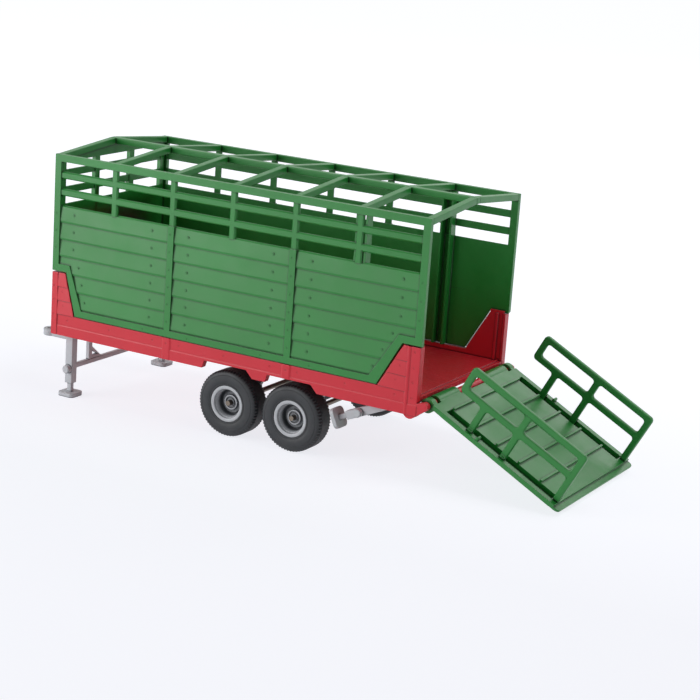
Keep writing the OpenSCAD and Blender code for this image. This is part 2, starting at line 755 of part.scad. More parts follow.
module left_axle_bracket() color(grey) place() axle_bracket_body();
module right_axle_bracket() color(grey) place() right_side() axle_bracket_body();

module axle_rod(x) color(steel) place()
    rod_y(x, axle_z, axle_r, -tyre_out + axle_tip, tyre_out - axle_tip);
// Rim, turned about its axle, with a deep dish and a raised hub
module rim_body(x) {
    dish_r = rim_r - rim_wall;
    back = tyre_w - rim_back;
    hub_end = tyre_w - hub_back;
    translate([x, -tyre_out, axle_z]) rotate([-90, 0, 0]) difference() {
        rotate_extrude() polygon([[0, hub_in], [ring_in, hub_in], [ring_in, hub_in + ring_d],
            [ring_out, hub_in + ring_d], [ring_out, hub_in], [hub_r, hub_in], [hub_r, dish_d],
            [dish_r - dish_taper, dish_d], [dish_r, flange_in], [rim_r, flange_in], [rim_r, back],
            [hub_r + hub_back - rim_back, back], [hub_r, hub_end], [0, hub_end]]);
        translate([0, 0, -past]) cylinder(r = axle_r, h = tyre_w + 2 * past);
    }
}
module tyre_body(x) {
    translate([x, -tyre_out, axle_z]) rotate([-90, 0, 0]) rotate_extrude() {
        translate([rim_r, 0]) square([tyre_r - shoulder - rim_r, tyre_w]);
        translate([rim_r, shoulder]) square([tyre_r - rim_r, tyre_w - 2 * shoulder]);
        for (y = [shoulder, tyre_w - shoulder]) translate([tyre_r - shoulder, y]) circle(shoulder);
    }
}
module left_rim(x) color(grey) place() rim_body(x);
module right_rim(x) color(grey) place() right_side() rim_body(x);
module left_tyre(x) color(rubber) place() tyre_body(x);
module right_tyre(x) color(rubber) place() right_side() tyre_body(x);

// Drawbar with its tow eye, screwed under the floor
module drawbar() color(grey) place() difference() {
    bend = -eye_front + bar_level;
    flat_end = flat_x + bar_flat;
    flat_under = floor_under - flat_t;
    bar_over = bar_under + eye_t;
    union() {
        translate([-eye_front, 0, bar_under]) cylinder(r = eye_out, h = eye_t);
        left_plate(-bar_y / 2, bar_y / 2)
            polygon([[-eye_front, bar_under], [bend, bar_under], [flat_x, flat_under], [flat_end, flat_under],
                [flat_end, floor_under], [skirt_t, floor_under], [skirt_t, 0], [0, 0], [bend, bar_over],
                [-eye_front, bar_over]]);
    }
    translate([-eye_front, 0, bar_under - past]) cylinder(r = eye_r, h = eye_t + 2 * past);
    rod_y(stand_xs[0], stand_z, stand_pin_r + run_gap, -bar_y, bar_y);
    for (x = flat_screws)
        translate([x, 0, flat_under - past]) cylinder(r = screw_r + screw_gap, h = flat_t + 2 * past);
}

// Stands
// Shared pin across the trailer, seated in both skirts
module stand_pin(x) color(steel) place()
    rod_y(x, stand_z, stand_pin_r, -skirt_in - pin_seat, skirt_in + pin_seat);
module leg_body() {
    difference() {
        union() {
            rod_y(0, 0, leg_w / 2, -leg_y - leg_w / 2, -leg_y + leg_w / 2);
            span([-leg_w / 2, -leg_y - leg_w / 2, -leg_l], [leg_w / 2, -leg_y + leg_w / 2, 0]);
        }
        rod_y(0, 0, stand_pin_r + run_gap, -leg_y - leg_w, -leg_y + leg_w);
    }
}
// Strut with an eye on the pin and an open gusset that stands on the cross bar
module strut_body() {
    near = strut_y - strut_w / 2;
    far = strut_y + strut_w / 2;
    tip = strut_y - gusset;
    peak = cross_top + gusset_h;
    difference() {
        union() {
            rod_y(0, 0, stand_pin_r + strut_eye, -far, -near);
            span([-strut_t / 2, -far, cross_top], [strut_t / 2, -near, 0]);
            cross_plate(-strut_t / 2, strut_t / 2) difference() {
                polygon([[-strut_y, cross_top], [-tip, cross_top], [-strut_y, peak]]);
                polygon([[-near, cross_top + gusset_rim], [-tip - 2 * gusset_rim, cross_top + gusset_rim],
                    [-near, peak - 2 * gusset_rim]]);
            }
        }
        rod_y(0, 0, stand_pin_r + run_gap, -far - past, -near + past);
    }
}
// Cross bar between the legs
module crossbar_body() {
    reach = leg_y - leg_w / 2;
    span([-cross_w / 2, -reach, -cross_drop - cross_w / 2], [cross_w / 2, reach, cross_top]);
}
module foot_body() {
    half = pad_w / 2 - pad_corner;
    translate([0, -leg_y, 0]) {
        span([-stem_w / 2, -stem_w / 2, -foot_drop + pad_t], [stem_w / 2, stem_w / 2, -leg_l]);
        translate([0, 0, -foot_drop]) {
            span([-half, -pad_w / 2, 0], [half, pad_w / 2, pad_t]);
            span([-pad_w / 2, -half, 0], [pad_w / 2, half, pad_t]);
            for (x = [-half, half], y = [-half, half])
                translate([x, y, 0]) cylinder(r = pad_corner, h = pad_t);
        }
    }
}
module knobs_body() {
    for (side = [-1, 1])
        translate([0, side * (leg_y + leg_w / 2), -knob_drop]) rotate([-90 * side, 0, 0]) {
            cylinder(r = knob_r, h = knob_l - knob_bevel);
            translate([0, 0, knob_l - knob_bevel])
                cylinder(r1 = knob_r, r2 = knob_r - knob_bevel, h = knob_bevel);
        }
}
// The front stand is down and the rear stand is folded forwards
module front_piece() color(grey) place() on_stand(stand_xs[0], 0) children();
module rear_piece() color(grey) place() on_stand(stand_xs[1], fold_angle) children();

// Loading ramp, drawn with s along X and n along Z from the hinge pin
module ramp_deck() color(green) place() on_ramp() difference() {
    half = ramp_half;
    union() {
        // Deck between the channels, its end borders and the low toe
        span([ramp_start, -field_y, plate_under], [deck_end, field_y, ramp_top]);
        span([deck_end - ramp_border, -half, ramp_under], [deck_end, half, ramp_top]);
        span([deck_end - ramp_border, -half, ramp_under], [ramp_end, half, ramp_top - toe_step]);
        span([ramp_start, -half, plate_under], [ramp_start + channel_start, half, ramp_top]);
        // Turned-down edges
        span([ramp_start, -half, ramp_under], [ramp_start + edge_t, half, ramp_top]);
        span([ramp_end - edge_t, -half, ramp_under], [ramp_end, half, ramp_top - toe_step]);
        for (side = [0, 1]) mirror([0, side, 0]) {
            span([ramp_start, -half, ramp_under], [ramp_end, -half + edge_t, ramp_top - toe_step]);
            // Flat border outside the channel
            span([ramp_start, -half, ramp_under], [deck_end, -channel_far, ramp_top]);
            // Trough under the rail: its floor, side walls and closed ends
            trough = [-channel_far - trough_t, -field_y + trough_t];
            upper = ramp_start + channel_start;
            lower = deck_end - ramp_border;
            span([upper - trough_t, trough[0], channel_under], [lower + trough_t, trough[1], channel_top]);
            for (y = [trough[0], -field_y])
                span([upper - trough_t, y, channel_under], [lower + trough_t, y + trough_t, ramp_top]);
            for (x = [upper - trough_t, lower])
                span([x, trough[0], channel_under], [x + trough_t, trough[1], ramp_top]);
            // Support foot under the toe
            span([support_end - support_l, -support_y, support_under],
                [support_end, -support_y + support_w, ramp_top - toe_step]);
            // Knuckle and outer ear on the pin
            half_w = knuckle_w / 2;
            for (reach = [[knuckle_y + half_w, knuckle_y - half_w], [ear_out, ear_out - ear_w]]) {
                rod_y(0, 0, knuckle_r, -reach[0], -reach[1]);
                span([0, -reach[0], ramp_under], [ramp_start + edge_t, -reach[1], ramp_top]);
            }
        }
        // Treads
        for (k = [1 : treads])
            translate([ramp_start + (k - 0.5) * tread_pitch, 0, 0])
                span([-tread_w / 2, -field_y, plate_under], [tread_w / 2, field_y, ramp_top + tread_h]);
    }
    rod_y(0, 0, hinge_r + run_gap, -half, half);
    // Round corners of the toe
    for (side = [0, 1]) mirror([0, side, 0])
        translate([ramp_end - toe_corner, toe_corner - half, ramp_under - past])
            linear_extrude(ramp_t + 2 * past) difference() {
                translate([0, -toe_corner - past]) square(toe_corner + past);
                circle(toe_corner);
            }
}
// A square-cornered outline between two corners, and one with round corners
module box_outline(a, b) { translate(a) square(b - a); }
module round_outline(a, b, r) {
    box_outline([a[0] + r, a[1]], [b[0] - r, b[1]]);
    box_outline([a[0], a[1] + r], [b[0], b[1] - r]);
    for (x = [a[0] + r, b[0] - r], y = [a[1] + r, b[1] - r]) translate([x, y]) circle(r);
}
// One ramp rail, a frame with two windows over three posts
module ramp_rail_body() {
    first = ramp_start + rail_start;
    one = ramp_start + post_one;
    two = ramp_start + post_two;
    last = rail_end - rail_bar;
    mid_under = ramp_top + rail_mid;
    mid_over = mid_under + rail_bar;
    rail_out = rail_y + rail_t / 2;
    left_plate(rail_y - rail_t / 2, rail_out) {
        difference() {
            round_outline([first, mid_under], [rail_end, rail_far], rail_corner);
            round_outline([first + rail_bar, mid_over], [two, rail_far - rail_bar], rail_fillet);
            round_outline([two + rail_bar, mid_over], [last, rail_far - rail_bar], rail_fillet);
        }
        // Posts, two in the channel and the last on the end border
        for (x = [one, two]) box_outline([x, channel_top], [x + rail_bar, mid_over]);
        box_outline([last, ramp_top], [rail_end, mid_over]);
        // Square corner over the last post
        box_outline([rail_end - rail_corner, mid_under], [rail_end, mid_over]);
        // Round corners between the posts and the middle bar
        for (x = [one, two]) {
            post_corner(x, mid_under, -1);
            post_corner(x + rail_bar, mid_under, 1);
        }
        post_corner(last, mid_under, -1);
    }
    // Clips over the border
    for (x = [one, two])
        span([x, -rail_out - clip_out, ramp_top], [x + rail_bar, -rail_out, ramp_top + clip_t]);
}
// Fills the corner between a post's side and the bar above it
module post_corner(x, z, way) {
    r = rail_fillet;
    translate([x, z]) scale([way, 1]) difference() {
        translate([0, -r]) square(r);
        translate([r, -r]) circle(r);
    }
}
module ramp_left_rail() color(green) place() on_ramp() ramp_rail_body();
module ramp_right_rail() color(green) place() on_ramp() right_side() ramp_rail_body();
// Catch pegs that lie across the deck's borders
module ramp_catches() color(green) place() on_ramp()
    for (side = [0, 1]) mirror([0, side, 0]) translate([catch_s, 0, ramp_top]) {
        rod_y(0, catch_r, catch_r, -ramp_half, -channel_far);
        span([-catch_r, -ramp_half, 0], [catch_r, -channel_far, catch_r]);
    }
module ramp_pin() color(steel) place()
    rod_y(hinge_x, hinge_z, hinge_r, -wall_out + pin_cover, wall_out - pin_cover);

// Spacer sleeves between the ramp's knuckles and ears
module hinge_sleeves() color(red) place() {
    sleeve(-mid_sleeve, mid_sleeve);
    sleeve(-side_sleeve[1], -side_sleeve[0]);
    sleeve(side_sleeve[0], side_sleeve[1]);
}
module sleeve(from, to) {
    difference() {
        rod_y(hinge_x, hinge_z, sleeve_r, from, to);
        rod_y(hinge_x, hinge_z, hinge_r, from - past, to + past);
    }
}

// Pan-head screws from below, into the floor
module body_screws() color(steel) place()
    for (at = screw_places) {
        seat = floor_under - (at[1] == 0 ? flat_t : flange_t);
        translate([at[0], at[1], seat - head_h]) cylinder(r = head_r, h = head_h);
        translate([at[0], at[1], seat]) cylinder(r = screw_r, h = floor_top - screw_roof - screw_end - seat);
    }

floor_pan();
left_skirt();
right_skirt();
front_plate();
left_wall();
right_wall();
front_wall();
roof_ridge();
roof_bow(0);  // roof_bow_1
roof_bow(1);  // roof_bow_2
roof_bow(2);  // roof_bow_3
roof_bow(3);  // roof_bow_4
roof_bow(4);  // roof_bow_5
roof_bow(5);  // roof_bow_6
roof_bow(6);  // roof_bow_7
left_axle_bracket();
right_axle_bracket();
drawbar();
stand_pin(stand_xs[0]);  // front_stand_pin
stand_pin(stand_xs[1]);  // rear_stand_pin
ramp_pin();
hinge_sleeves();
body_screws();
ramp_deck();
ramp_left_rail();
ramp_right_rail();
ramp_catches();
front_piece() leg_body();  // front_left_leg
front_piece() right_side() leg_body();  // front_right_leg
front_piece() strut_body();  // front_left_strut
front_piece() right_side() strut_body();  // front_right_strut
front_piece() crossbar_body();  // front_crossbar
front_piece() foot_body();  // front_left_foot
front_piece() right_side() foot_body();  // front_right_foot
front_piece() knobs_body();  // front_knobs
rear_piece() leg_body();  // rear_left_leg
rear_piece() right_side() leg_body();  // rear_right_leg
rear_piece() strut_body();  // rear_left_strut
rear_piece() right_side() strut_body();  // rear_right_strut
rear_piece() crossbar_body();  // rear_crossbar
rear_piece() foot_body();  // rear_left_foot
rear_piece() right_side() foot_body();  // rear_right_foot
rear_piece() knobs_body();  // rear_knobs
axle_rod(axle_xs[0]);  // front_axle
axle_rod(axle_xs[1]);  // rear_axle
left_rim(axle_xs[0]);  // front_left_rim
right_rim(axle_xs[0]);  // front_right_rim
left_rim(axle_xs[1]);  // rear_left_rim
right_rim(axle_xs[1]);  // rear_right_rim
left_tyre(axle_xs[0]);  // front_left_tyre
right_tyre(axle_xs[0]);  // front_right_tyre
left_tyre(axle_xs[1]);  // rear_left_tyre
right_tyre(axle_xs[1]);  // rear_right_tyre
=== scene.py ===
import json
import math

import bpy
from mathutils import Matrix, Vector


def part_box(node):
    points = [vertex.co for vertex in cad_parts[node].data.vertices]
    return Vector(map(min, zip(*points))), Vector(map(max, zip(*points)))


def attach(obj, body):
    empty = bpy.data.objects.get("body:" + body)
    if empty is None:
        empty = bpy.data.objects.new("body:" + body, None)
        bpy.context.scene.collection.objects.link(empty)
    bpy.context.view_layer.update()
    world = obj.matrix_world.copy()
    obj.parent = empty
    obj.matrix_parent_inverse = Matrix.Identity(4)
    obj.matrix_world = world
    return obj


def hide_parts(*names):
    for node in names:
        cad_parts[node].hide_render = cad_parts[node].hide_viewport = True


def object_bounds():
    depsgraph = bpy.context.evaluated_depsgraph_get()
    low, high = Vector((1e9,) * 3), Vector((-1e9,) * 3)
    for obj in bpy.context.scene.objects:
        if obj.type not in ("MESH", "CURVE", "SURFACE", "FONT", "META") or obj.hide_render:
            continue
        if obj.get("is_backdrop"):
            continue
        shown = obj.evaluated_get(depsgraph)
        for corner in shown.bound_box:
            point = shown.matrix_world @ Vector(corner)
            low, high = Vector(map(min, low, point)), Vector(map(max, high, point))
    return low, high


# Livestock trailer in moulded plastic, 1:32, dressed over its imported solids.
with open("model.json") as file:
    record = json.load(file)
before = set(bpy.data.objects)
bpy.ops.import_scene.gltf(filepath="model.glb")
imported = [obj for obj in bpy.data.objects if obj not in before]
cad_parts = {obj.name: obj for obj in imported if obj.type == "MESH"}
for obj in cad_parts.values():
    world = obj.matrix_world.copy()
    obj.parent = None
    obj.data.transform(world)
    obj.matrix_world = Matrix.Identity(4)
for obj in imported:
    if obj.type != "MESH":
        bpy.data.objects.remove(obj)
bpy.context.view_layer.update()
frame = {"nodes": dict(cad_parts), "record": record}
scene = bpy.context.scene
scene.view_settings.view_transform = "Standard"
solids = frame["nodes"]
record = frame["record"]
mm = 0.001
bodyOf = {node: body for body, nodes in record["behaviour"]["bodies"].items() for node in nodes}
slotOf = {part["node"]: part["material_slot"] for part in record["subparts"]}
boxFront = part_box("left_wall")[0].x   # the front of the box
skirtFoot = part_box("front_plate")[0].z   # the bottom edge of the skirts
wallFace = -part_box("left_wall")[0].y   # outer faces of the side walls, from the centre line
ends = ("front", "rear")
hands = {"left": -1, "right": 1}   # the two sides, by their sign in Y
print("loaded", len(solids), "solids")


def spot(x, y, z):
    # millimetres from the front of the box, the centre line and the bottom of the skirts
    return Vector((boxFront + x * mm, y * mm, skirtFoot + z * mm))


def deselect():
    if bpy.context.mode != "OBJECT":
        bpy.ops.object.mode_set(mode="OBJECT")
    bpy.ops.object.select_all(action="DESELECT")


def pick(piece):
    deselect()
    piece.select_set(True)
    bpy.context.view_layer.objects.active = piece


def finishWith(piece, kind, **settings):
    pick(piece)
    modifier = piece.modifiers.new(kind.lower(), kind)
    for key, value in settings.items():
        setattr(modifier, key, value)
    bpy.ops.object.modifier_apply(modifier=modifier.name)


def copyOf(mesh, name):
    piece = bpy.data.objects.new(name, mesh.copy())
    scene.collection.objects.link(piece)
    return piece


def dress(piece, finish, body, slot, *stoodFor):
    piece.data.materials.clear()
    piece.data.materials.append(finish)
    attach(piece, body)
    if stoodFor:
        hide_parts(*stoodFor)


# materials
def toLinear(code):
    parts = [int(code[i:i + 2], 16) / 255 for i in (1, 3, 5)]
    return [p / 12.92 if p <= 0.04045 else ((p + 0.055) / 1.055) ** 2.4 for p in parts] + [1.0]


def addNode(tree, kind, inputs=None, **settings):
    node = tree.nodes.new(kind)
    for key, value in settings.items():
        setattr(node, key, value)
    for key, value in (inputs or {}).items():
        if isinstance(value, bpy.types.NodeSocket):
            tree.links.new(value, node.inputs[key])
        else:
            node.inputs[key].default_value = value
    return node


def startMaterial(name):
    material = bpy.data.materials.new(name)
    material.use_nodes = True
    material.node_tree.nodes.clear()
    return material, material.node_tree


noiseMiddle = (0.3, 0.7)   # a noise has most of its values between these
paintedShadeClears = (0.7, 0.98)   # how open a corner is where the painted shade starts to clear, and where it ends


def setTones(ramp, look):
    # from the deep to the light tone over the middle of a noise
    for stop, place, tone in zip(ramp.elements, noiseMiddle, ("deep", "light")):
        stop.position = place
        stop.color = toLinear(look[tone])


def mouldedPlastic(name, look):
    material, tree = startMaterial(name)
    place = addNode(tree, "ShaderNodeTexCoord").outputs["Object"]
    # pigment drifts a little as the melt fills the mould
    cloud = addNode(tree, "ShaderNodeTexNoise", {
        "Vector": place, "Scale": 1 / (look["cloud"] * mm), "Detail": 3.0})
    tone = addNode(tree, "ShaderNodeValToRGB", {"Fac": cloud.outputs["Fac"]})
    setTones(tone.color_ramp, look)
    # painted shade: the colour darkens towards a dark tone in the seams and inner corners, as far
    # as they are closed in
    seam = addNode(tree, "ShaderNodeAmbientOcclusion", {"Distance": look["seam"] * mm}, samples=8)
    clear = addNode(tree, "ShaderNodeMapRange", {
        "Value": seam.outputs["AO"], "From Min": paintedShadeClears[0], "From Max": paintedShadeClears[1]})
    shown = addNode(tree, "ShaderNodeMix", {
        0: clear.outputs["Result"], 6: toLinear(look["film"]), 7: tone.outputs["Color"]},
        data_type="RGBA").outputs[2]
    # handling leaves faint dull patches on the sheen
    rub = addNode(tree, "ShaderNodeTexNoise", {
        "Vector": place, "Scale": 1 / (look["rub"] * mm), "Detail": 4.0, "Roughness": 0.6})
    dull = addNode(tree, "ShaderNodeMapRange", {
        "Value": rub.outputs["Fac"], "From Min": noiseMiddle[0], "From Max": noiseMiddle[1],
        "To Min": look["sheen"][0], "To Max": look["sheen"][1]})
    # spark-eroded mould grain, drawn at a few times its real size so that it shows
    grain = addNode(tree, "ShaderNodeTexNoise", {
        "Vector": place, "Scale": 1 / (look["grain"] * mm), "Detail": 2.0})
    height = addNode(tree, "ShaderNodeBump", {
        "Height": grain.outputs["Fac"], "Strength": look["grainStrength"],
        "Distance": look["grainDepth"] * mm})
    if "plank" in look:
        # at a scale of 1 the bands across Y are pi / 10 apart
        plank = addNode(tree, "ShaderNodeTexWave", {
            "Vector": place, "Scale": math.pi / 10 / (look["plank"] * mm)},
            wave_type="BANDS", bands_direction="Y", wave_profile="SIN")
        groove = addNode(tree, "ShaderNodeMapRange", {
            "Value": plank.outputs["Fac"], "From Min": 0.0, "From Max": look["plankLine"]})
        height = addNode(tree, "ShaderNodeBump", {
            "Height": groove.outputs["Result"], "Normal": height.outputs["Normal"],
            "Strength": 1.0, "Distance": look["plankDepth"] * mm})
    shade = addNode(tree, "ShaderNodeBsdfPrincipled", {
        "Base Color": shown, "Roughness": dull.outputs["Result"],
        "Normal": height.outputs["Normal"], "IOR": look["ior"]})
    addNode(tree, "ShaderNodeOutputMaterial", {"Surface": shade.outputs["BSDF"]})
    return material


# ABS from a polished mould: even colour, a satin sheen and painted shade in the seams
absLook = {"cloud": 45, "grain": 0.9, "grainStrength": 0.12, "grainDepth": 0.05, "ior": 1.53}
greenAbs = mouldedPlastic("greenAbs", {
    **absLook, "deep": "#1a7f2d", "light": "#238a37", "rub": 9, "sheen": (0.34, 0.46),
    "seam": 1.2, "film": "#0f4a1b"})
redAbs = mouldedPlastic("redAbs", {
    **absLook, "deep": "#dc1c30", "light": "#e4253a", "rub": 9, "sheen": (0.34, 0.46),
    "seam": 0.9, "film": "#861220"})
# the same red on the floor, with moulded plank lines
plankedAbs = mouldedPlastic("plankedAbs", {
    **absLook, "deep": "#d4192c", "light": "#e02236", "rub": 7, "sheen": (0.36, 0.5),
    "seam": 0.9, "film": "#861220", "plank": 3.4, "plankDepth": 0.25, "plankLine": 0.12})
# polystyrene of the wheels and running gear: cool grey, a little duller
styreneLook = {
    "deep": "#cacdd3", "light": "#d4d7dd", "cloud": 30, "rub": 5, "sheen": (0.38, 0.52),
    "grain": 0.8, "grainStrength": 0.15, "grainDepth": 0.05, "ior": 1.58}
greyStyrene = mouldedPlastic("greyStyrene", {**styreneLook, "seam": 0.7, "film": "#75787d"})
# the same grey on the rims, with more painted shade in their dish
rimStyrene = mouldedPlastic("rimStyrene", {**styreneLook, "seam": 3, "film": "#505358"})
# soft PVC of the tyres: near black with a cool, dull bloom
tyrePvc = mouldedPlastic("tyrePvc", {
    "deep": "#1b1e22", "light": "#22262b", "cloud": 12, "rub": 4, "sheen": (0.5, 0.64),
    "grain": 0.7, "grainStrength": 0.2, "grainDepth": 0.06, "ior": 1.52,
    "seam": 0.4, "film": "#121416"})


def drawnSteel(name, look):
    material, tree = startMaterial(name)
    place = addNode(tree, "ShaderNodeTexCoord").outputs["Object"]
    # drawing lines run along the rods, which lie across the trailer
    stretch = addNode(tree, "ShaderNodeMapping", {
        "Vector": place, "Scale": (1.0, look["stretch"], 1.0)})
    lines = addNode(tree, "ShaderNodeTexNoise", {
        "Vector": stretch.outputs["Vector"], "Scale": 1 / (look["line"] * mm), "Detail": 2.0})
    tone = addNode(tree, "ShaderNodeValToRGB", {"Fac": lines.outputs["Fac"]})
    setTones(tone.color_ramp, look)
    dull = addNode(tree, "ShaderNodeMapRange", {
        "Value": lines.outputs["Fac"], "To Min": look["sheen"][0], "To Max": look["sheen"][1]})
    height = addNode(tree, "ShaderNodeBump", {
        "Height": lines.outputs["Fac"], "Strength": look["lineStrength"],
        "Distance": look["lineDepth"] * mm})
    shade = addNode(tree, "ShaderNodeBsdfPrincipled", {
        "Base Color": tone.outputs["Color"], "Roughness": dull.outputs["Result"],
        "Normal": height.outputs["Normal"], "Metallic": 1.0})
    addNode(tree, "ShaderNodeOutputMaterial", {"Surface": shade.outputs["BSDF"]})
    return material


# drawn steel rod: fine lines along it, under a thin brown film
rodSteel = drawnSteel("rodSteel", {
    "deep": "#5d544c", "light": "#7d746a", "line": 0.5, "stretch": 0.05, "sheen": (0.28, 0.45),
    "lineStrength": 0.2, "lineDepth": 0.03})
print("materials ready")


# moulded pieces: copies of the solids, each with the width of its soft edges
softEdges = {
    "floor_pan": (plankedAbs, 0.15), "front_plate": (redAbs, 0.2),
    "left_skirt": (redAbs, 0.18), "right_skirt": (redAbs, 0.18),
    "left_wall": (greenAbs, 0.12), "right_wall": (greenAbs, 0.12), "front_wall": (greenAbs, 0.12),
    "hinge_sleeves": (redAbs, 0.2), "roof_ridge": (greenAbs, 0.35),
    "ramp_deck": (greenAbs, 0.18), "ramp_left_rail": (greenAbs, 0.6),
    "ramp_right_rail": (greenAbs, 0.6), "ramp_catches": (greenAbs, 0.2),
    "drawbar": (greyStyrene, 0.35), "left_axle_bracket": (greyStyrene, 0.25),
    "right_axle_bracket": (greyStyrene, 0.25)}
bows = {"count": 7, "edge": 0.35}
stands = {
    "parts": ("left_leg", "right_leg", "left_strut", "right_strut", "crossbar",
              "left_foot", "right_foot", "knobs"),
    "edge": 0.25}
mould = {"weld": 0.002, "flat": 0.3, "segments": 2, "bevelFrom": 48, "smoothTo": 50, "weight": 80}
for k in range(bows["count"]):
    softEdges["roof_bow_%d" % (k + 1)] = (greenAbs, bows["edge"])
for end in ends:
    for part in stands["parts"]:
        softEdges[end + "_" + part] = (greyStyrene, stands["edge"])


def plainName(node):
    head, *rest = node.split("_")
    return head + "".join(r.capitalize() for r in rest)


def cleanCopy(node):
    piece = copyOf(solids[node].data, plainName(node))
    pick(piece)
    bpy.ops.object.mode_set(mode="EDIT")
    bpy.ops.mesh.select_all(action="SELECT")
    bpy.ops.mesh.remove_doubles(threshold=mould["weld"] * mm)
    bpy.ops.mesh.customdata_custom_splitnormals_clear()
    bpy.ops.mesh.dissolve_limited(angle_limit=math.radians(mould["flat"]))
    bpy.ops.object.mode_set(mode="OBJECT")
    return piece


def isAt(value, level, near):
    return abs(value - level) < near * mm


moulded = {node: cleanCopy(node) for node in softEdges}
# the walls stop a little above the skirts, which leaves a dark line between the colours
wallFoot = {"level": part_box("left_wall")[0].z, "gap": 0.35, "near": 0.05}
# over the rear corners the walls' inner edges reach down behind the seam
seamLip = {"level": 31.3, "back": 41.8, "behind": 180, "drop": 0.55, "near": 0.05}
# the wheel notches in the skirts are steeper at their front ends
notches = {"height": 3.6, "front": (91.0, 125.3), "steeper": 2.2, "near": 0.1}
seam = spot(seamLip["behind"], 0, seamLip["level"])
for side in hands:
    for vertex in moulded[side + "_wall"].data.vertices:
        if isAt(vertex.co.z, wallFoot["level"], wallFoot["near"]):
            vertex.co.z += wallFoot["gap"] * mm
        atSeam = isAt(vertex.co.z, seam.z, seamLip["near"]) and vertex.co.x > seam.x
        if atSeam and abs(vertex.co.y) < seamLip["back"] * mm:
            vertex.co.z -= seamLip["drop"] * mm
    for vertex in moulded[side + "_skirt"].data.vertices:
        for x in notches["front"]:
            corner = spot(x, 0, notches["height"])
            inLine = isAt(vertex.co.x, corner.x, notches["near"])
            if inLine and isAt(vertex.co.z, corner.z, notches["near"]):
                vertex.co.x -= notches["steeper"] * mm
print("clean copies", len(moulded))


# small round heads on the boards, and dimples in the flat strips
rivets = {"radius": 0.62, "height": 0.28, "crown": 0.55, "sides": 10}
dimples = {"radius": 0.62, "depth": 0.12, "foot": 0.42, "sides": 12}


def rivetHead():
    deselect()
    bpy.ops.mesh.primitive_cylinder_add(
        vertices=rivets["sides"], radius=rivets["radius"] * mm, depth=rivets["height"] * mm)
    head = bpy.context.object
    for face in head.data.polygons:
        face.select = face.normal.z > 0.9   # the top
    bpy.ops.object.mode_set(mode="EDIT")
    bpy.ops.mesh.select_mode(type="FACE")
    rise = (0, 0, rivets["height"] * mm / 2)
    bpy.ops.mesh.extrude_region_move(TRANSFORM_OT_translate={"value": rise})
    bpy.ops.transform.resize(value=(rivets["crown"], rivets["crown"], 1))
    bpy.ops.object.mode_set(mode="OBJECT")
    return head


def dimpleCutter():
    # a closed cone that stands as far over the face as the dimple goes under it
    deselect()
    bpy.ops.mesh.primitive_cone_add(
        vertices=dimples["sides"], radius1=dimples["foot"] * mm,
        radius2=(2 * dimples["radius"] - dimples["foot"]) * mm, depth=2 * dimples["depth"] * mm)
    return bpy.context.object


def spread(pattern, name, places, outward):
    # one copy, with its own mesh, on each place, its top turned outward
    turn = Vector((0, 0, 1)).rotation_difference(outward).to_matrix().to_4x4()
    copies = []
    for place in places:
        piece = copyOf(pattern.data, name)
        piece.data.transform(Matrix.Translation(place) @ turn)
        copies.append(piece)
    deselect()
    for piece in copies:
        piece.select_set(True)
    bpy.context.view_layer.objects.active = copies[0]
    bpy.ops.object.join()
    joined = bpy.context.object
    joined.name = name
    return joined


# places as x and z in millimetres; the sinks are how far a face lies behind the walls' outer face
wallPoints = {
    "rows": (18.1, 26.3, 34.4, 42.6, 50.9, 59.1), "boardFace": 43.1,
    "inner": (56.4, 76.6, 122.5, 142.6), "front": (18.9, 16.9, 14.9, 11.4, 11.4, 11.4),
    "rear": (176.2, 180.5, 184.9, 188.4, 188.4, 188.4),
    "posts": (67.2, 132.8), "ends": (1.9, 198.1), "endsFrom": 3,
    "footStrip": (53.9, 78.9, 119.1, 144.8), "footStripZ": 12.1}
skirtPoints = {
    "band": (9.6, 34.4, 59.4, 74.3, 99.1, 124.1, 138.6, 163.4, 188.4), "bandZ": 7.8,
    "bandSink": 0.4, "straps": (67.2, 132.8),
    "frontStrip": ((1.7, 24.1), (1.7, 17.2), (1.7, 10.1)),
    "frontPlate": ((6.1, 21.6), (7.0, 14.9)), "rearPlate": ((190.1, 21.4), (188.4, 14.7)),
    "plateSink": 0.2, "column": ((196.8, 28.4), (196.8, 21.2), (196.8, 14.7), (196.8, 7.8))}


def wallDimplePlaces(points):
    places = [(x, 0, z) for x in points["posts"] for z in points["rows"]]
    places += [(x, 0, z) for x in points["ends"] for z in points["rows"][points["endsFrom"]:]]
    return places + [(x, 0, points["footStripZ"]) for x in points["footStrip"]]


def skirtDimplePlaces(points):
    places = [(x, points["bandSink"], points["bandZ"]) for x in points["band"]]
    places += [(x, points["bandSink"], z) for x, z in points["column"]]
    places += [(x, 0, points["bandZ"]) for x in points["straps"]]
    places += [(x, 0, z) for x, z in points["frontStrip"]]
    plates = points["frontPlate"] + points["rearPlate"]
    return places + [(x, points["plateSink"], z) for x, z in plates]


head = rivetHead()
cutter = dimpleCutter()
face = wallFace / mm
for side, hand in hands.items():
    out = Vector((0, hand, 0))
    onBoards = []
    for k, z in enumerate(wallPoints["rows"]):
        for x in wallPoints["inner"] + (wallPoints["front"][k], wallPoints["rear"][k]):
            onBoards.append(spot(x, hand * wallPoints["boardFace"], z))
    boardRivets = spread(head, side + "BoardRivets", onBoards, out)
    dress(boardRivets, greenAbs, "trailer", "green_plastic")
    for part, places in (("wall", wallDimplePlaces(wallPoints)),
                         ("skirt", skirtDimplePlaces(skirtPoints))):
        sunk = [spot(x, hand * (face - sink), z) for x, sink, z in places]
        tool = spread(cutter, part + "Dimples", sunk, out)
        finishWith(moulded[side + "_" + part], "BOOLEAN", operation="DIFFERENCE", solver="EXACT",
                   object=tool)
        bpy.data.objects.remove(tool)
bpy.data.objects.remove(head)
bpy.data.objects.remove(cutter)

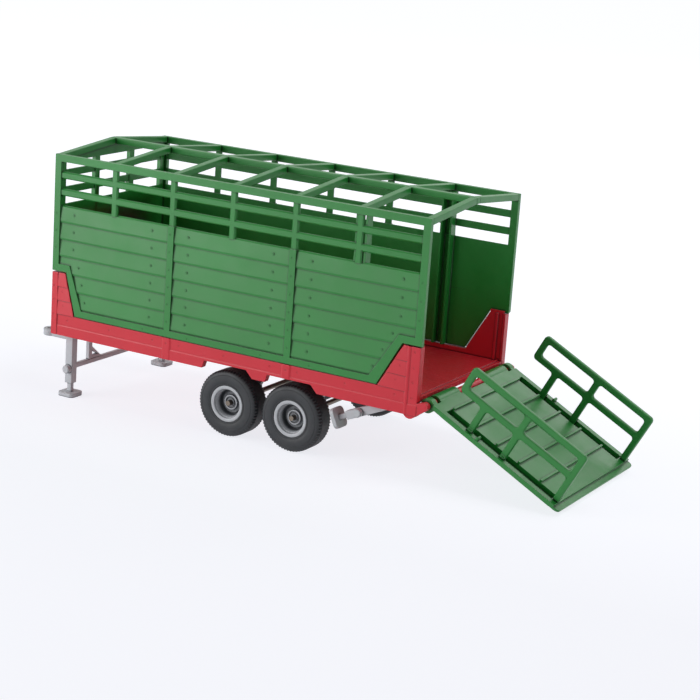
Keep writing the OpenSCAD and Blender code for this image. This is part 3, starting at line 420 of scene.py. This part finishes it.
for node, (finish, edge) in softEdges.items():
    piece = moulded[node]
    finishWith(piece, "BEVEL", width=edge * mm, segments=mould["segments"], limit_method="ANGLE",
               angle_limit=math.radians(mould["bevelFrom"]), use_clamp_overlap=False,
               miter_outer="MITER_SHARP")
    if node in ("left_skirt", "right_skirt"):
        for vertex in piece.data.vertices:   # no mitre stands past the mould's outer face
            vertex.co.y = max(-wallFace, min(wallFace, vertex.co.y))
    pick(piece)
    if node in ("left_wall", "right_wall", "left_skirt", "right_skirt"):
        bpy.ops.object.shade_flat()   # the dimples cut broad faces, which would shade unevenly
    else:
        bpy.ops.object.shade_smooth_by_angle(angle=math.radians(mould["smoothTo"]))
        # flat faces stay flat beside the soft edges
        finishWith(piece, "WEIGHTED_NORMAL", keep_sharp=True, weight=mould["weight"])
    dress(piece, finish, bodyOf[node], slotOf[node], node)
print("rivets and dimples set")


# wheels: section lines from the tyre's outer face inwards, as (depth, radius) in millimetres
tyreSection = {
    "side": ((0.55, 8.65), (0.2, 8.75), (0.12, 9.2), (0.3, 9.45), (0.12, 9.75), (0.02, 11.2),
             (0.02, 12.6), (0.12, 13.2), (0.24, 13.3), (0.14, 13.45), (0.26, 14.3), (0.55, 14.95),
             (1.0, 15.38), (1.5, 15.55)),
    "rib": 0.95, "groove": 0.28, "grooveDepth": 0.35, "ribs": 8, "width": 11.5, "outer": 15.6,
    "steps": 128, "shoulder": (14.8, 15.7), "notchDepth": 2.3, "notch": 0.968}
rimSection = {
    "line": ((0.55, 8.65), (0.34, 8.5), (0.3, 8.3), (0.36, 7.35), (0.5, 7.05), (0.9, 6.95),
             (1.3, 6.9), (1.42, 6.75), (1.48, 6.5), (1.7, 6.4), (5.85, 5.95), (6.1, 5.75),
             (6.1, 5.35), (5.95, 5.2), (5.1, 5.05), (4.95, 4.9), (4.95, 3.8), (4.8, 3.6),
             (4.0, 3.5), (3.85, 3.4), (3.8, 3.2), (3.8, 2.85), (3.9, 2.72), (4.3, 2.65),
             (4.3, 1.95), (3.9, 1.88), (3.8, 1.75), (3.82, 1.25), (4.0, 1.2), (8.5, 1.2),
             (8.5, 4.0), (9.9, 5.4), (9.9, 8.65)),
    "steps": 80}
turning = {"weld": 0.001, "smoothTo": 30}


def spun(name, section, steps):
    # the section is drawn as a chain of edges beside the axle, then spun about it
    deselect()
    bpy.ops.mesh.primitive_plane_add(size=mm)
    piece = bpy.context.object
    piece.name = name
    bpy.ops.object.mode_set(mode="EDIT")
    bpy.ops.mesh.select_mode(type="VERT")
    bpy.ops.mesh.select_all(action="SELECT")
    bpy.ops.mesh.merge(type="CENTER")
    chain = [Vector((0, depth * mm, radius * mm)) for depth, radius in section]
    bpy.ops.transform.translate(value=chain[0])
    for here, there in zip(chain, chain[1:] + chain[:1]):
        bpy.ops.mesh.extrude_region_move(TRANSFORM_OT_translate={"value": there - here})
    bpy.ops.mesh.select_all(action="SELECT")
    bpy.ops.mesh.remove_doubles(threshold=turning["weld"] * mm)
    bpy.ops.mesh.select_all(action="SELECT")
    bpy.ops.mesh.spin(steps=steps, angle=math.tau, center=(0, 0, 0), axis=(0, 1, 0))
    bpy.ops.mesh.select_all(action="SELECT")
    bpy.ops.mesh.remove_doubles(threshold=turning["weld"] * mm)
    bpy.ops.mesh.normals_make_consistent(inside=False)
    bpy.ops.object.mode_set(mode="OBJECT")
    return piece


def tyreLine(look):
    half = list(look["side"])
    width = look["width"]
    groove = look["groove"]
    tread = []
    start = (width - look["ribs"] * look["rib"]) / 2
    for k in range(look["ribs"]):
        low, high = start + k * look["rib"], start + (k + 1) * look["rib"]
        tread += [(low + groove / 2, look["outer"]), (high - groove / 2, look["outer"])]
        if k < look["ribs"] - 1:
            tread += [(high - groove / 4, look["outer"] - look["grooveDepth"]),
                      (high + groove / 4, look["outer"] - look["grooveDepth"])]
    return half + tread + [(width - depth, radius) for depth, radius in reversed(half)]


def notchShoulders(piece, look):
    # every other step of the tyre's shoulders is drawn in
    inner, outer = look["shoulder"]
    for vertex in piece.data.vertices:
        radius = math.hypot(vertex.co.x, vertex.co.z) / mm
        step = round(math.atan2(vertex.co.x, vertex.co.z) / math.tau * look["steps"])
        depth = vertex.co.y / mm
        outside = min(depth, look["width"] - depth) < look["notchDepth"]
        vertex.select = outside and inner < radius < outer and step % 2 == 0
    for element in (*piece.data.edges, *piece.data.polygons):
        element.select = False
    pick(piece)
    bpy.ops.object.mode_set(mode="EDIT")
    bpy.ops.mesh.select_mode(type="VERT")
    bpy.ops.transform.resize(value=(look["notch"], 1, look["notch"]), center_override=(0, 0, 0))
    bpy.ops.object.mode_set(mode="OBJECT")


tyrePattern = spun("tyrePattern", tyreLine(tyreSection), tyreSection["steps"])
notchShoulders(tyrePattern, tyreSection)
rimPattern = spun("rimPattern", rimSection["line"], rimSection["steps"])
wheelParts = (("tyre", tyrePattern, tyrePvc), ("rim", rimPattern, rimStyrene))
for end in ends:
    for side, hand in hands.items():
        low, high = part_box("%s_%s_tyre" % (end, side))
        outerFace = low.y if hand < 0 else high.y
        hub = Vector(((low.x + high.x) / 2, outerFace, (low.z + high.z) / 2))
        for part, pattern, finish in wheelParts:
            node = "%s_%s_%s" % (end, side, part)
            piece = copyOf(pattern.data, plainName(node))
            piece.data.transform(Matrix.Translation(hub) @ Matrix.Diagonal((1, -hand, 1, 1)))
            pick(piece)
            if hand > 0:   # the mirrored ones turn inside out
                bpy.ops.object.mode_set(mode="EDIT")
                bpy.ops.mesh.select_all(action="SELECT")
                bpy.ops.mesh.normals_make_consistent(inside=False)
                bpy.ops.object.mode_set(mode="OBJECT")
            bpy.ops.object.shade_smooth_by_angle(angle=math.radians(turning["smoothTo"]))
            dress(piece, finish, bodyOf[node], slotOf[node], node)
for pattern in (tyrePattern, rimPattern):
    bpy.data.objects.remove(pattern)
print("wheels turned")

# rods, pins and screws stay as solids
for node in ("front_axle", "rear_axle", "front_stand_pin", "rear_stand_pin", "ramp_pin",
             "body_screws"):
    solids[node].data.materials.clear()
    solids[node].data.materials.append(rodSteel)


# camera, fitted to the posts and corners of the photographed object
cameraLook = {"place": (571.72, -769.17, 243.62), "aim": (140.46, 0, 10.06), "roll": 3.97,
              "lens": 101.18, "sensor": 36, "clip": 0.01}
cameraData = bpy.data.cameras.new("camera")
cameraData.lens = cameraLook["lens"]
cameraData.sensor_width = cameraLook["sensor"]
cameraData.clip_start = cameraLook["clip"]
camera = bpy.data.objects.new("camera", cameraData)
scene.collection.objects.link(camera)
camera.location = spot(*cameraLook["place"])
aim = (spot(*cameraLook["aim"]) - camera.location).to_track_quat("-Z", "Y")
roll = Matrix.Rotation(math.radians(cameraLook["roll"]), 3, "Z").to_quaternion()
camera.rotation_mode = "QUATERNION"
camera.rotation_quaternion = aim @ roll
scene.camera = camera
print("camera set")


# floor, light and white surroundings, in metres
studio = {"floor": 12.0, "floorTone": "#9a9b9e", "bounceTone": "#e6e7ea", "glowTone": "#f8f9ff",
          "near": -0.12, "far": 0.3, "nearGlow": 0.79, "farGlow": 1.0,
          "worldLight": 0.13, "worldWhite": 1.0}
lamps = {
    "key": {"place": (-0.7, -0.75, 0.32), "size": 0.8, "power": 6.2},
    "fill": {"place": (1.6, -0.4, 0.5), "size": 0.9, "power": 1.8},
    "top": {"place": (0.55, 0.15, 1.3), "size": 0.8, "power": 4.5},
    "back": {"place": (0.15, 1.4, 0.8), "size": 1.0, "power": 2.5}}
lampAim = Vector((0.02, 0, 0.06))


def seenRays(tree):
    # rays that show the background: straight to the camera, in gloss or through glass
    path = addNode(tree, "ShaderNodeLightPath")
    straight = seen = path.outputs["Is Camera Ray"]
    for kind in ("Is Glossy Ray", "Is Transmission Ray"):
        seen = addNode(tree, "ShaderNodeMath", {0: seen, 1: path.outputs[kind]},
                       operation="MAXIMUM").outputs[0]
    return straight, seen


deselect()
bpy.ops.mesh.primitive_plane_add(size=studio["floor"])
floor = bpy.context.object
floor.name = "floor"
floorPaper, tree = startMaterial("floorPaper")
straight, seen = seenRays(tree)
# the paper brightens to white behind the trailer
place = addNode(tree, "ShaderNodeTexCoord").outputs["Object"]
away = addNode(tree, "ShaderNodeSeparateXYZ", {0: place})
glow = addNode(tree, "ShaderNodeMapRange", {
    "Value": away.outputs["Y"], "From Min": studio["near"], "From Max": studio["far"],
    "To Min": studio["nearGlow"], "To Max": studio["farGlow"]})
glow = addNode(tree, "ShaderNodeMath", {0: seen, 1: glow.outputs["Result"]}, operation="MULTIPLY")
# the camera sees the paper a little darker than it throws light, so that the shadow stays soft
tint = addNode(tree, "ShaderNodeMix", {
    0: straight, 6: toLinear(studio["bounceTone"]), 7: toLinear(studio["floorTone"])},
    data_type="RGBA")
paper = addNode(tree, "ShaderNodeBsdfDiffuse", {"Color": tint.outputs[2]})
lift = addNode(tree, "ShaderNodeEmission", {
    "Color": toLinear(studio["glowTone"]), "Strength": glow.outputs[0]})
both = addNode(tree, "ShaderNodeAddShader", {0: paper.outputs[0], 1: lift.outputs[0]})
addNode(tree, "ShaderNodeOutputMaterial", {"Surface": both.outputs[0]})
floor.data.materials.append(floorPaper)
floor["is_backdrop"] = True

world = bpy.data.worlds.new("studio")
scene.world = world
world.use_nodes = True
tree = world.node_tree
tree.nodes.clear()
seen = seenRays(tree)[1]
level = addNode(tree, "ShaderNodeMapRange", {
    "Value": seen, "To Min": studio["worldLight"], "To Max": studio["worldWhite"]})
sky = addNode(tree, "ShaderNodeBackground", {
    "Color": (1, 1, 1, 1), "Strength": level.outputs["Result"]})
addNode(tree, "ShaderNodeOutputWorld", {"Surface": sky.outputs[0]})

for name, look in lamps.items():
    data = bpy.data.lights.new(name, "AREA")
    data.shape = "DISK"
    data.size = look["size"]
    data.energy = look["power"]
    lamp = bpy.data.objects.new(name, data)
    scene.collection.objects.link(lamp)
    lamp.location = look["place"]
    lamp.rotation_euler = (lampAim - lamp.location).to_track_quat("-Z", "Y").to_euler()
print("studio set")

bpy.context.view_layer.update()
low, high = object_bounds()
